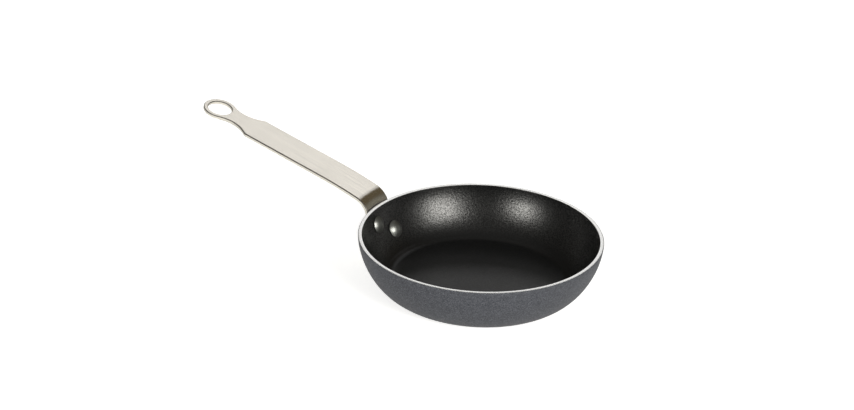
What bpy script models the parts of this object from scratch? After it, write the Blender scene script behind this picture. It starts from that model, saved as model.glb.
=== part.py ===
"""A small blini pan: a pressed aluminium bowl with a riveted steel strip handle.

The bowl stands on its flat base at z = 0, with its axis on Z. The handle rises from the side at +X
and ends in a hanging ring. Lengths are in metres and angles in degrees.
"""

import math

import bmesh
import bpy
from mathutils import Matrix, Vector
from mathutils.geometry import interpolate_bezier

# The bowl's finished outer side is one cubic curve, from the rim's edge down to the base's edge.
RIM_RADIUS = 0.0600
BOWL_HEIGHT = 0.0274
BASE_RADIUS = 0.0404
RIM_LEAN = 0.0006  # how far the curve leans in below the rim
RIM_DROP = 0.0117  # over this drop
BASE_REACH = 0.0102  # how far the curve sweeps out from the base
BASE_LIFT = 0.0008  # over this rise

# The wall from finished face to finished face, and the cooking surface.
WALL_AT_RIM = 0.0020
WALL_AT_BASE = 0.0032
FLOOR_HEIGHT = 0.0040  # above the table
FLOOR_FILLET = 0.0060

# The two skins lie in recesses of the aluminium, and the rim and the base stay bare.
LINING_THICKNESS = 0.0002
COATING_THICKNESS = 0.0002
SKIN_GAP = 0.0002
BARE_RIM = 0.0004  # bare metal below the rim, inside and outside
BARE_BASE = 0.0014  # bare metal on the side beyond the base's edge
RIM_ROUND = 0.0003

# Turned grooves in the underside.
GROOVE_FIRST_RADIUS = 0.0120
GROOVE_PITCH = 0.0050
GROOVE_WIDTH = 0.0016
GROOVE_DEPTH = 0.0003
GROOVE_EDGE_LAND = 0.0020  # plain metal left at the base's edge

# The handle is one flat blank, bent over the rim and pressed to the bowl's side at its foot.
STRIP_WIDTH = 0.0188
STRIP_THICKNESS = 0.0018
STRIP_EDGE_ROUND = 0.0003
FOOT_LENGTH = 0.0205  # from the foot's lower end to where the strip leaves the side
FOOT_CORNER = 0.0060
LEAVING_HEIGHT = 0.0251  # where the strip leaves the bowl's side
BEND_RADIUS = 0.0098  # at the strip's upper face
BEND_EXIT_SLOPE = 18.1
CROWN_RADIUS = 0.2380  # the slight arch after the bend
GRIP_SLOPE = 12.7  # of the straight grip, above the horizontal
GRIP_LENGTH = 0.0917  # from the bend to the ring's centre

# The hanging ring and the concave neck before it.
RING_RADIUS = 0.0084
RING_HOLE_RADIUS = 0.0062
NECK_WIDTH = 0.0108
NECK_TO_RING = 0.0116  # from the narrowest place to the ring's centre
SHOULDER_ROUND = 0.0010

# The two rivets, set on the slant across the foot.
RIVET_SIDE_STEP = 0.0059  # each one's distance from the handle's middle plane
UPPER_RIVET_HEIGHT = 0.0190
LOWER_RIVET_HEIGHT = 0.0125
SHANK_RADIUS = 0.0020
HEAD_RADIUS = 0.0043
HEAD_HEIGHT = 0.0022
HEAD_EDGE = 0.0004  # upright edge below the dome
TAIL_RADIUS = 0.0033
TAIL_HEIGHT = 0.0014
RIVET_CLEARANCE = 0.0003  # round the shank, and under the head and the tail
SEAT_GAP = 0.0003  # between the foot and the bowl's side

# Fineness of the facets.
TURN_STEPS = 56
SIDE_STEPS = 8
CORNER_STEPS = 3
RIVET_STEPS = 24
RING_STEPS = 36
NECK_STEPS = 8
FOOT_STEPS = 7
BEND_STEPS = 8
CROWN_STEPS = 4
WIDTH_STEPS = 6
SAMPLES = 400  # points read from the side's curve to measure along it
HALVINGS = 36  # of the stretch in which a height is looked for on that curve

COLLECTION_NAME = "blini_pan"
CUTTER_COLLECTION_NAME = "blini_pan_cutters"
CUTTER_OVERRUN = 0.0020
MERGE_DISTANCE = 0.000001
FLAT_ANGLE = 0.001  # in radians: faces this flat to each other are one face
SHARP_ANGLE = 25


class Side:
    """The bowl's finished outer side, measured by the distance down it from the rim."""

    def __init__(self):
        rim = Vector((RIM_RADIUS, 0, BOWL_HEIGHT))
        base = Vector((BASE_RADIUS, 0, 0))
        rim_handle = rim - Vector((RIM_LEAN, 0, RIM_DROP))
        base_handle = base + Vector((BASE_REACH, 0, BASE_LIFT))
        self.points = interpolate_bezier(rim, rim_handle, base_handle, base, SAMPLES)
        self.distances = [0.0]
        for before, after in zip(self.points, self.points[1:]):
            self.distances.append(self.distances[-1] + (after - before).length)
        self.length = self.distances[-1]

    def step_at(self, distance):
        """The index of the sample just before a distance, and the share of the step beyond it."""
        last = len(self.points) - 2
        index = next((i for i in range(last) if self.distances[i + 1] > distance), last)
        step = self.distances[index + 1] - self.distances[index]
        return index, (distance - self.distances[index]) / step

    def down(self, distance):
        """The unit vector down the side."""
        index, share = self.step_at(distance)
        ahead = min(index + 1, len(self.points) - 2)
        here = (self.points[index + 1] - self.points[index]).normalized()
        there = (self.points[ahead + 1] - self.points[ahead]).normalized()
        return here.lerp(there, share).normalized()

    def inward(self, distance):
        """The unit vector into the wall."""
        down = self.down(distance)
        return Vector((down.z, 0, -down.x))

    def at(self, distance, depth=0.0):
        """The point at a distance down the side and a depth into the wall."""
        index, share = self.step_at(distance)
        face = self.points[index].lerp(self.points[index + 1], share)
        return face + self.inward(distance) * depth

    def distance_at_height(self, height, depth_at=lambda distance: 0.0):
        """The distance at which a layer, whose depth follows the distance, passes a height."""
        low, high = 0.0, self.length
        for _ in range(HALVINGS):
            middle = (low + high) / 2
            if self.at(middle, depth_at(middle)).z > height:
                low = middle
            else:
                high = middle
        return (low + high) / 2


SIDE = Side()


def wall(distance):
    """The wall's whole thickness at a distance from the rim."""
    return WALL_AT_RIM + (WALL_AT_BASE - WALL_AT_RIM) * distance / SIDE.length


def spread(first, last, steps):
    """Evenly spaced values, both ends included."""
    return [first + (last - first) * i / steps for i in range(steps + 1)]


def arc(centre_x, centre_y, radius, first_angle, last_angle, steps):
    """Points (x, y) on an arc, with the angles in degrees."""
    angles = [math.radians(a) for a in spread(first_angle, last_angle, steps)]
    return [(centre_x + radius * math.cos(a), centre_y + radius * math.sin(a)) for a in angles]


def fillet(before, corner, after, radius):
    """Points of an arc that rounds the corner between two others, at most half of either side long."""
    back = (before - corner).normalized()
    ahead = (after - corner).normalized()
    half_angle = back.angle(ahead) / 2
    room = min((before - corner).length, (after - corner).length) / 2
    reach = min(radius / math.tan(half_angle), room)
    radius = reach * math.tan(half_angle)
    centre = corner + (back + ahead).normalized() * radius / math.sin(half_angle)
    start = corner + back * reach - centre
    end = corner + ahead * reach - centre
    shares = spread(0, 1, CORNER_STEPS)
    return [centre + start.lerp(end, share).normalized() * radius for share in shares]


def inner_layer(short_of_face):
    """A layer of the bowl's inside, from its floor corner up to the bare rim, that far behind the face."""

    def depth(distance):
        return wall(distance) - short_of_face

    floor = FLOOR_HEIGHT - short_of_face
    corner = SIDE.distance_at_height(floor, depth)
    rise = [SIDE.at(d, depth(d)) for d in spread(corner, BARE_RIM, SIDE_STEPS)]
    centre = Vector((0, 0, floor))
    rounded = fillet(centre, rise[0], rise[1], FLOOR_FILLET + short_of_face)
    return [centre] + rounded + rise[1:]


def outer_layer(depth, first, last):
    """A layer of the bowl's outside at one depth, downwards between two distances from the rim."""
    return [SIDE.at(distance, depth) for distance in spread(first, last, SIDE_STEPS)]


def rim_outline():
    """The bare rim, from its inner lower edge over the top to its outer lower edge."""
    inner_low = SIDE.at(BARE_RIM, wall(BARE_RIM))
    inner_high = Vector((SIDE.at(0, WALL_AT_RIM).x, 0, BOWL_HEIGHT))
    outer_high = SIDE.at(0)
    outer_low = SIDE.at(BARE_RIM)
    over_inner = fillet(inner_low, inner_high, outer_high, RIM_ROUND)
    over_outer = fillet(inner_high, outer_high, outer_low, RIM_ROUND)
    return [inner_low] + over_inner + over_outer + [outer_low]


def base_outline():
    """The underside from the base's edge to the axis, with its turned grooves."""
    points = [SIDE.at(SIDE.length - BARE_BASE / 2), Vector((BASE_RADIUS, 0, 0))]
    room = BASE_RADIUS - GROOVE_EDGE_LAND - GROOVE_FIRST_RADIUS - GROOVE_WIDTH / 2
    count = int(room / GROOVE_PITCH) + 1
    for index in reversed(range(count)):
        middle = GROOVE_FIRST_RADIUS + GROOVE_PITCH * index
        points.append(Vector((middle + GROOVE_WIDTH / 2, 0, 0)))
        points.append(Vector((middle, 0, GROOVE_DEPTH)))
        points.append(Vector((middle - GROOVE_WIDTH / 2, 0, 0)))
    return points + [Vector((0, 0, 0))]


def make_material(name, colour, metallic, roughness):
    material = bpy.data.materials.new(name)
    material.use_nodes = True
    shader = material.node_tree.nodes["Principled BSDF"]
    shader.inputs["Base Color"].default_value = (*colour, 1.0)
    shader.inputs["Metallic"].default_value = metallic
    shader.inputs["Roughness"].default_value = roughness
    material.diffuse_color = (*colour, 1.0)
    return material


def add_object(name, mesh, collection, material=None):
    new_object = bpy.data.objects.new(name, mesh)
    collection.objects.link(new_object)
    if material:
        mesh.materials.append(material)
    return new_object


def turned(name, profile, collection, material, closed=False, steps=TURN_STEPS):
    """An object turned about its Z axis from a profile in the XZ plane."""
    edges = [(i, i + 1) for i in range(len(profile) - 1)]
    if closed:
        edges.append((len(profile) - 1, 0))
    mesh = bpy.data.meshes.new(name)
    mesh.from_pydata(profile, edges, [])
    piece = add_object(name, mesh, collection, material)
    screw = piece.modifiers.new("turn", "SCREW")
    screw.axis = "Z"
    screw.steps = steps
    screw.render_steps = steps
    screw.use_merge_vertices = True
    screw.merge_threshold = MERGE_DISTANCE
    screw.use_smooth_shade = True
    return piece


def make_body(collection):
    """The aluminium bowl, with a recess for each skin."""
    metal = make_material("bare_aluminium", (0.80, 0.80, 0.79), 1.0, 0.30)
    inside = inner_layer(LINING_THICKNESS + SKIN_GAP)
    outside = outer_layer(COATING_THICKNESS + SKIN_GAP, BARE_RIM, SIDE.length - BARE_BASE)
    foot = [SIDE.at(SIDE.length - BARE_BASE)]
    profile = inside + rim_outline() + outside + foot + base_outline()
    return turned("pan_body", profile, collection, metal)


def make_lining(collection):
    """The black non-stick skin that covers the inside up to the bare rim."""
    black = make_material("nonstick_black", (0.012, 0.012, 0.012), 0.0, 0.42)
    face = inner_layer(0.0)
    back = inner_layer(LINING_THICKNESS)
    face[-1] = SIDE.at(BARE_RIM + SKIN_GAP, wall(BARE_RIM + SKIN_GAP))
    back[-1] = SIDE.at(BARE_RIM + SKIN_GAP, wall(BARE_RIM + SKIN_GAP) - LINING_THICKNESS)
    return turned("nonstick_lining", face + back[::-1], collection, black)


def make_coating(collection):
    """The dark grey skin on the outer side, from below the bare rim to the bare base."""
    grey = make_material("speckled_grey", (0.10, 0.10, 0.11), 0.0, 0.50)
    first = BARE_RIM + SKIN_GAP
    last = SIDE.length - BARE_BASE - SKIN_GAP
    face = outer_layer(0.0, first, last)
    back = outer_layer(COATING_THICKNESS, first, last)
    return turned("outer_coating", face + back[::-1], collection, grey, closed=True)


class StripPath:
    """The line of the strip's upper face in the XZ plane, measured from the foot's lower end."""

    def __init__(self):
        self.leaving = SIDE.distance_at_height(LEAVING_HEIGHT)
        top, self.leaving_slope = self.on_side(FOOT_LENGTH)
        self.bend_turn = self.leaving_slope - math.radians(BEND_EXIT_SLOPE)
        self.bend_end = FOOT_LENGTH + BEND_RADIUS * self.bend_turn
        self.crown_turn = math.radians(BEND_EXIT_SLOPE - GRIP_SLOPE)
        self.crown_end = self.bend_end + CROWN_RADIUS * self.crown_turn
        self.ring_centre = self.bend_end + GRIP_LENGTH
        self.top = top
        self.bend_top = self.turned_from(top, self.leaving_slope, self.bend_turn, BEND_RADIUS)
        start = math.radians(BEND_EXIT_SLOPE)
        self.crown_top = self.turned_from(self.bend_top, start, self.crown_turn, CROWN_RADIUS)

    def on_side(self, along):
        """The point and slope of the foot, which lies on the bowl's side with its seating gap."""
        distance = self.leaving + FOOT_LENGTH - along
        down = SIDE.down(distance)
        return SIDE.at(distance, -SEAT_GAP), math.atan2(-down.z, -down.x)

    @staticmethod
    def turned_from(start, slope, turn, radius):
        """The end of an arc that starts at a slope and turns down."""
        centre = start + Vector((math.sin(slope), 0, -math.cos(slope))) * radius
        end_slope = slope - turn
        return centre - Vector((math.sin(end_slope), 0, -math.cos(end_slope))) * radius

    def at(self, along):
        """The point and slope at a length along the strip."""
        if along <= FOOT_LENGTH:
            return self.on_side(along)
        if along <= self.bend_end:
            turn = (along - FOOT_LENGTH) / BEND_RADIUS
            return self.turned_from(self.top, self.leaving_slope, turn, BEND_RADIUS), self.leaving_slope - turn
        start = math.radians(BEND_EXIT_SLOPE)
        if along <= self.crown_end:
            turn = (along - self.bend_end) / CROWN_RADIUS
            return self.turned_from(self.bend_top, start, turn, CROWN_RADIUS), start - turn
        slope = math.radians(GRIP_SLOPE)
        ahead = Vector((math.cos(slope), 0, math.sin(slope)))
        return self.crown_top + ahead * (along - self.crown_end), slope

    def saddle(self, along):
        """The share of the bowl's roundness that the strip takes: all at the foot, none past the bend."""
        share = (along - FOOT_LENGTH) / (self.bend_end - FOOT_LENGTH)
        share = min(max(share, 0.0), 1.0)
        return 1.0 - share * share * (3.0 - 2.0 * share)

    def form(self, flat):
        """Where a point of the flat blank (along, across, up) goes when the strip is bent to shape."""
        point, slope = self.at(flat.x)
        placed = point + Vector((-math.sin(slope), 0, math.cos(slope))) * flat.z
        round_in = placed.x - math.sqrt(placed.x**2 - flat.y**2)
        return placed + Vector((-round_in * self.saddle(flat.x), flat.y, 0))


def half_outline(ring_centre):
    """One half of the blank's outline, from the foot's end to the ring's tip: points (along, across)."""
    edge = STRIP_WIDTH / 2
    foot = arc(FOOT_CORNER, edge - FOOT_CORNER, FOOT_CORNER, 180, 90, 2 * CORNER_STEPS)
    # The neck's arc touches the ring's circle from outside, and its lowest point is the half width.
    across_room = RING_RADIUS - NECK_WIDTH / 2
    neck_radius = (NECK_TO_RING**2 / across_room - RING_RADIUS - NECK_WIDTH / 2) / 2
    neck_x = ring_centre - NECK_TO_RING
    neck_y = NECK_WIDTH / 2 + neck_radius
    meets_edge = -90 - math.degrees(math.acos((neck_y - edge) / neck_radius))
    meets_ring = -math.degrees(math.atan2(neck_y, NECK_TO_RING))
    neck = arc(neck_x, neck_y, neck_radius, meets_edge, meets_ring, NECK_STEPS)
    ring = arc(ring_centre, 0, RING_RADIUS, 180 + meets_ring, 0, RING_STEPS // 2)
    before, corner, after = (Vector((x, y, 0)) for x, y in (foot[-1], neck[0], neck[1]))
    shoulder = [(p.x, p.y) for p in fillet(before, corner, after, SHOULDER_ROUND)]
    return foot + shoulder + neck[1:] + ring[1:]


def add_spline(curve, outline):
    spline = curve.splines.new("POLY")
    spline.points.add(len(outline) - 1)
    for point, (x, y) in zip(spline.points, outline):
        point.co = (x, y, 0, 1)
    spline.use_cyclic_u = True


def flat_blank(path):
    """The strip's blank as a bmesh, cut out flat with its edges rounded, upper face at z = 0."""
    curve = bpy.data.curves.new("handle_blank", "CURVE")
    curve.dimensions = "2D"
    curve.fill_mode = "BOTH"
    curve.bevel_depth = STRIP_EDGE_ROUND
    curve.bevel_resolution = 1
    curve.offset = -STRIP_EDGE_ROUND
    curve.extrude = STRIP_THICKNESS / 2 - STRIP_EDGE_ROUND
    half = half_outline(path.ring_centre)
    add_spline(curve, half + [(x, -y) for x, y in reversed(half[:-1])])
    add_spline(curve, arc(path.ring_centre, 0, RING_HOLE_RADIUS, 0, 360, RING_STEPS)[:-1])
    guide = bpy.data.objects.new("handle_blank", curve)
    bpy.context.scene.collection.objects.link(guide)
    graph = bpy.context.evaluated_depsgraph_get()
    blank = bmesh.new()
    flat = bpy.data.meshes.new_from_object(guide.evaluated_get(graph))
    blank.from_mesh(flat)
    bpy.data.meshes.remove(flat)
    bpy.data.objects.remove(guide)
    bpy.data.curves.remove(curve)
    bmesh.ops.remove_doubles(blank, verts=blank.verts, dist=MERGE_DISTANCE)
    bmesh.ops.dissolve_limit(blank, angle_limit=FLAT_ANGLE, verts=blank.verts, edges=blank.edges)
    bmesh.ops.translate(blank, verts=blank.verts, vec=(0, 0, -STRIP_THICKNESS / 2))
    return blank


def make_handle(collection):
    """The steel strip: the blank is scored where it bends and then formed."""
    steel = make_material("satin_steel", (0.62, 0.61, 0.59), 1.0, 0.28)
    path = StripPath()
    blank = flat_blank(path)
    stations = spread(0, FOOT_LENGTH, FOOT_STEPS)[1:]
    stations += spread(FOOT_LENGTH, path.bend_end, BEND_STEPS)[1:]
    stations += spread(path.bend_end, path.crown_end, CROWN_STEPS)[1:]
    lanes = spread(-STRIP_WIDTH / 2, STRIP_WIDTH / 2, WIDTH_STEPS)[1:-1]
    for station in stations:
        score(blank, Vector((station, 0, 0)), Vector((1, 0, 0)))
    for lane in lanes:
        score(blank, Vector((0, lane, 0)), Vector((0, 1, 0)), path.bend_end)
    for vertex in blank.verts:
        vertex.co = path.form(vertex.co)
    mesh = bpy.data.meshes.new("handle")
    blank.to_mesh(mesh)
    blank.free()
    mesh.shade_smooth()
    mesh.set_sharp_from_angle(angle=math.radians(SHARP_ANGLE))
    return add_object("handle", mesh, collection, steel)


def score(blank, place, across, furthest=math.inf):
    """Cuts new edges into the blank along a plane, up to a length from the foot's end."""
    faces = [f for f in blank.faces if min(v.co.x for v in f.verts) < furthest - MERGE_DISTANCE]
    edges = {edge for face in faces for edge in face.edges}
    verts = {vert for face in faces for vert in face.verts}
    bmesh.ops.bisect_plane(
        blank, geom=list(verts) + list(edges) + faces, plane_co=place, plane_no=across, dist=MERGE_DISTANCE
    )


class RivetPlace:
    """Where a rivet goes: a frame on the bowl's outer face whose Z axis points into the bowl."""

    def __init__(self, height, side_step):
        self.distance = SIDE.distance_at_height(height)
        face = SIDE.at(self.distance)
        self.angle = math.asin(side_step / face.x)
        inward = SIDE.inward(self.distance)
        up = -SIDE.down(self.distance)
        frame = Matrix((up, inward.cross(up), inward)).transposed().to_4x4()
        frame.translation = face
        self.matrix = Matrix.Rotation(self.angle, 4, "Z") @ frame
        self.head_seat = wall(self.distance) + self.rise(HEAD_RADIUS) + RIVET_CLEARANCE
        self.tail_seat = -SEAT_GAP - STRIP_THICKNESS - RIVET_CLEARANCE

    def rise(self, radius):
        """How far the hollow inner face stands up under the edge of a flat head."""
        here = SIDE.at(self.distance, wall(self.distance))
        inward = SIDE.inward(self.distance)
        ends = (self.distance - radius, self.distance + radius)
        return max((SIDE.at(d, wall(d)) - here).dot(inward) for d in ends)


def dome(radius, base, height):
    """The profile of a shallow dome, from its edge to the axis. A negative height makes it hang."""
    ball = (radius**2 + height**2) / (2 * height)
    centre = base + height - ball
    edge_angle = math.asin(radius / abs(ball))
    return [
        Vector((abs(ball) * math.sin(angle), 0, centre + ball * math.cos(angle)))
        for angle in spread(edge_angle, 0, CORNER_STEPS)
    ]


def make_rivet(name, place, collection, material):
    """A rivet with its domed head inside the bowl and its flattened tail outside the foot."""
    head_base = place.head_seat + HEAD_EDGE
    head = dome(HEAD_RADIUS, head_base, HEAD_HEIGHT - HEAD_EDGE)[::-1]
    tail = dome(TAIL_RADIUS, place.tail_seat - HEAD_EDGE, HEAD_EDGE - TAIL_HEIGHT)
    shank = [
        Vector((HEAD_RADIUS, 0, place.head_seat)),
        Vector((SHANK_RADIUS, 0, place.head_seat)),
        Vector((SHANK_RADIUS, 0, place.tail_seat)),
        Vector((TAIL_RADIUS, 0, place.tail_seat)),
    ]
    rivet = turned(name, head + shank + tail, collection, material, steps=RIVET_STEPS)
    rivet.matrix_world = place.matrix
    return rivet


def make_cutter(name, place, collection):
    """The drill for one rivet's hole, through the lining, the bowl, the coating and the foot."""
    low = place.tail_seat - CUTTER_OVERRUN
    high = place.head_seat + CUTTER_OVERRUN
    mesh = bpy.data.meshes.new(name)
    drill = bmesh.new()
    bmesh.ops.create_cone(
        drill,
        cap_ends=True,
        segments=RIVET_STEPS,
        radius1=SHANK_RADIUS + RIVET_CLEARANCE,
        radius2=SHANK_RADIUS + RIVET_CLEARANCE,
        depth=high - low,
        matrix=Matrix.Translation((0, 0, (low + high) / 2)),
    )
    drill.to_mesh(mesh)
    drill.free()
    cutter = add_object(name, mesh, collection)
    cutter.matrix_world = place.matrix
    cutter.hide_render = True
    cutter.display_type = "WIRE"
    return cutter


def drill_through(piece, cutters):
    for cutter in cutters:
        cut = piece.modifiers.new(cutter.name, "BOOLEAN")
        cut.operation = "DIFFERENCE"
        cut.object = cutter
        cut.solver = "EXACT"


def clear_scene():
    for old in list(bpy.data.objects):
        bpy.data.objects.remove(old, do_unlink=True)


def new_collection(name):
    collection = bpy.data.collections.new(name)
    bpy.context.scene.collection.children.link(collection)
    return collection


def main():
    clear_scene()
    parts = new_collection(COLLECTION_NAME)
    drills = new_collection(CUTTER_COLLECTION_NAME)
    layers = [make_body(parts), make_lining(parts), make_coating(parts), make_handle(parts)]
    places = {
        "rivet_upper": RivetPlace(UPPER_RIVET_HEIGHT, RIVET_SIDE_STEP),
        "rivet_lower": RivetPlace(LOWER_RIVET_HEIGHT, -RIVET_SIDE_STEP),
    }
    bright_steel = make_material("rivet_steel", (0.66, 0.66, 0.64), 1.0, 0.22)
    rivets = [make_rivet(name, place, parts, bright_steel) for name, place in places.items()]
    cutters = [make_cutter(name + "_drill", place, drills) for name, place in places.items()]
    for layer in layers:
        drill_through(layer, cutters)
    axis = bpy.data.objects.new("pan_axis", None)
    parts.objects.link(axis)
    for piece in layers + rivets:
        piece.parent = axis


main()
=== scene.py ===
"""The looks of a small blini pan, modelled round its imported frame: a turned aluminium bowl with a black
non-stick lining and a speckled grey coating, and a riveted handle of flat satin steel.

Lengths are in metres. The bowl stands at the origin with its axis on Z, and the handle points to +X.
"""

import math

import bmesh
import bpy
from bpy.props import FloatProperty, FloatVectorProperty, IntProperty, PointerProperty
from mathutils import Matrix, Vector
from mathutils.geometry import interpolate_bezier


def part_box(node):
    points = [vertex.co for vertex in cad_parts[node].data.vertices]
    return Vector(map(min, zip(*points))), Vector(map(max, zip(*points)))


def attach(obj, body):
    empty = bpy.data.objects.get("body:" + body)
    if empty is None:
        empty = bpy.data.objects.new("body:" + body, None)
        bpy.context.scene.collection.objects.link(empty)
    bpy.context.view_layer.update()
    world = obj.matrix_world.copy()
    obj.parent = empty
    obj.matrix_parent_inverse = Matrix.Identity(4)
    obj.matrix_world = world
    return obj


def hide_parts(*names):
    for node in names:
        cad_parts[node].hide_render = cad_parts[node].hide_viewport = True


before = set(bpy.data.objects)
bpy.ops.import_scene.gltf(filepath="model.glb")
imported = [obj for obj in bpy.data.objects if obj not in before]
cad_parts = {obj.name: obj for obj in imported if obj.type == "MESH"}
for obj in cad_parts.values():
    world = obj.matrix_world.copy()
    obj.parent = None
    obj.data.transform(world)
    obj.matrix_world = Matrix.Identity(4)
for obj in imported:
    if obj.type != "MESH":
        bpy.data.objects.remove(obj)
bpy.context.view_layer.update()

bl_info = {
    "name": "Blini Pan",
    "version": (1, 0, 0),
    "blender": (4, 5, 0),
    "location": "3D View > Sidebar > Blini Pan",
    "description": "Models a small riveted blini pan and its studio",
    "category": "Object",
}

PAN_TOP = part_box("pan_body")[1]
BODY = "root"

MERGE = 0.000001  # points closer together than this are one
CURVE_SAMPLES = 600  # points read from the side's curve to measure along it
HALVINGS = 40  # of the stretch in which a height is looked for on that curve
SMOOTH_BELOW = math.radians(32)
STAND_OFF = 0.00001  # between the back of a skin and the metal behind it
BLACK = (0.0, 0.0, 0.0)
WHITE = (1.0, 1.0, 1.0)


def length(name, description, default):
    """A length that a user can set, in metres."""
    return FloatProperty(
        name=name, description=description, default=default, unit="LENGTH", precision=5
    )


def turn(name, description, default):
    """An angle that a user can set. Its default is given in degrees."""
    return FloatProperty(
        name=name, description=description, default=math.radians(default), subtype="ANGLE"
    )


def colour(name, description, default):
    """A linear colour that a user can set."""
    return FloatVectorProperty(
        name=name, description=description, default=default, subtype="COLOR", size=3, min=0, max=1
    )


class BowlSizes(bpy.types.PropertyGroup):
    """Sizes of the bowl, its lining and its coating."""

    rim_radius: length("Rim radius", "Outer radius at the rim", round(PAN_TOP.x, 4))
    height: length("Height", "From the table to the rim", round(PAN_TOP.z, 4))
    base_radius: length("Base radius", "Radius of the flat base", 0.0404)
    rim_lean: length("Rim lean", "How far the side's curve leans in below the rim", 0.0006)
    rim_drop: length("Rim drop", "The drop over which the side leans in", 0.0117)
    base_reach: length("Base reach", "How far the side sweeps out from the base", 0.0102)
    base_lift: length("Base lift", "The rise over which the side sweeps out", 0.0008)
    wall_at_rim: length("Wall at the rim", "Thickness of the wall at the rim", 0.0020)
    wall_at_base: length("Wall at the base", "Thickness of the wall at the base", 0.0032)
    floor_height: length("Floor height", "Cooking surface above the table", 0.0040)
    floor_fillet: length("Floor fillet", "Radius between the floor and the side", 0.0060)
    skin: length("Skin", "Thickness of the lining and of the coating", 0.00006)
    bare_base: length("Bare base", "Bare metal on the side beyond the base", 0.0014)
    inner_round: length("Inner round", "Rounding of the rim's inner corner", 0.0002)
    outer_round: length("Outer round", "Rounding of the rim's outer corner", 0.0003)
    groove_radius: length("First groove", "Radius of the smallest groove underneath", 0.0120)
    groove_pitch: length("Groove pitch", "From groove to groove", 0.0050)
    groove_width: length("Groove width", "Width of a groove", 0.0016)
    groove_depth: length("Groove depth", "Depth of a groove", 0.0003)
    groove_land: length("Groove land", "Plain metal left at the base's edge", 0.0020)
    steps: IntProperty(name="Steps", description="Faces round the bowl", default=240, min=24)


class HandleSizes(bpy.types.PropertyGroup):
    """Sizes of the steel strip."""

    width: length("Width", "Width of the strip", 0.0188)
    thickness: length("Thickness", "Thickness of the strip", 0.0018)
    edge_round: length("Edge round", "Softening of the strip's edges", 0.00085)
    foot_length: length("Foot length", "Strip that lies on the bowl's side", 0.0205)
    foot_corner: length("Foot corner", "Rounding of the foot's corners", 0.0060)
    leaving_height: length("Leaving height", "Where the strip leaves the bowl", 0.0251)
    bend_radius: length("Bend radius", "Radius of the bend at its upper face", 0.0098)
    bend_exit: turn("Bend exit", "Slope of the strip after the bend", 18.1)
    crown_radius: length("Crown radius", "Radius of the slight arch after the bend", 0.2380)
    grip_slope: turn("Grip slope", "Slope of the straight grip", 12.7)
    grip_length: length("Grip length", "From the bend to the ring's centre", 0.0917)
    ring_radius: length("Ring radius", "Outer radius of the hanging ring", 0.0084)
    hole_radius: length("Hole radius", "Radius of the hanging hole", 0.0062)
    neck_width: length("Neck width", "Width of the neck before the ring", 0.0108)
    neck_to_ring: length("Neck to ring", "From the neck to the ring's centre", 0.0116)
    shoulder_round: length("Shoulder round", "Softening of the strip's shoulders", 0.0010)
    seat_gap: length("Seat gap", "Between the foot and the bowl", 0.0003)
    ring_steps: IntProperty(name="Ring steps", description="Faces round the ring", default=64, min=16)


class RivetSizes(bpy.types.PropertyGroup):
    """Sizes of the two rivets."""

    side_step: length("Side step", "From a rivet to the handle's middle", 0.0059)
    upper_height: length("Upper height", "Height of the upper rivet", 0.0190)
    lower_height: length("Lower height", "Height of the lower rivet", 0.0125)
    shank_radius: length("Shank radius", "Radius of the shank", 0.0020)
    head_radius: length("Head radius", "Radius of the domed head", 0.0043)
    head_height: length("Head height", "Height of the domed head", 0.00185)
    head_edge: length("Head edge", "Upright edge below the dome", 0.00015)
    tail_radius: length("Tail radius", "Radius of the flattened tail", 0.0033)
    tail_height: length("Tail height", "Height of the flattened tail", 0.0014)
    clearance: length("Clearance", "Round the shank and under head and tail", 0.00012)
    steps: IntProperty(name="Steps", description="Faces round a rivet", default=64, min=12)


class Colours(bpy.types.PropertyGroup):
    """Colours of the pan's finishes."""

    lining: colour("Lining", "Black non-stick lining", (0.0028, 0.0029, 0.0031))
    coating: colour("Coating", "Grey coating between its flecks", (0.0225, 0.0245, 0.0310))
    fleck: colour("Fleck", "Lighter flecks of the coating", (0.089, 0.093, 0.107))
    aluminium: colour("Aluminium", "Bare turned aluminium", (0.95, 0.945, 0.93))
    steel: colour("Steel", "Satin steel of the handle", (0.965, 0.918, 0.832))
    rivet: colour("Rivet", "Steel of the rivets", (0.190, 0.195, 0.187))


class StudioSettings(bpy.types.PropertyGroup):
    """Where the camera stands, and the light."""

    azimuth: turn("Azimuth", "Camera's direction round the pan", 211.219)
    elevation: turn("Elevation", "Camera's height above the horizon", 25.932)
    roll: turn("Roll", "Camera's turn about its own axis", 2.170)
    distance: length("Distance", "From the camera to the pan's place", 1.5205)
    aim_right: length("Aim right", "Camera's aim to the right of the pan's axis", -0.02538)
    aim_up: length("Aim up", "Camera's aim above the pan's base", 0.03991)
    lens: FloatProperty(name="Lens", description="Focal length", default=130.68, unit="CAMERA")
    sensor: FloatProperty(name="Sensor", description="Width of the sensor", default=36, unit="CAMERA")
    fill: FloatProperty(name="Fill", description="Light that falls from all sides", default=0.25)


class PanSettings(bpy.types.PropertyGroup):
    """Everything that can be set on the pan."""

    bowl: PointerProperty(type=BowlSizes)
    handle: PointerProperty(type=HandleSizes)
    rivet: PointerProperty(type=RivetSizes)
    colours: PointerProperty(type=Colours)
    studio: PointerProperty(type=StudioSettings)


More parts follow.
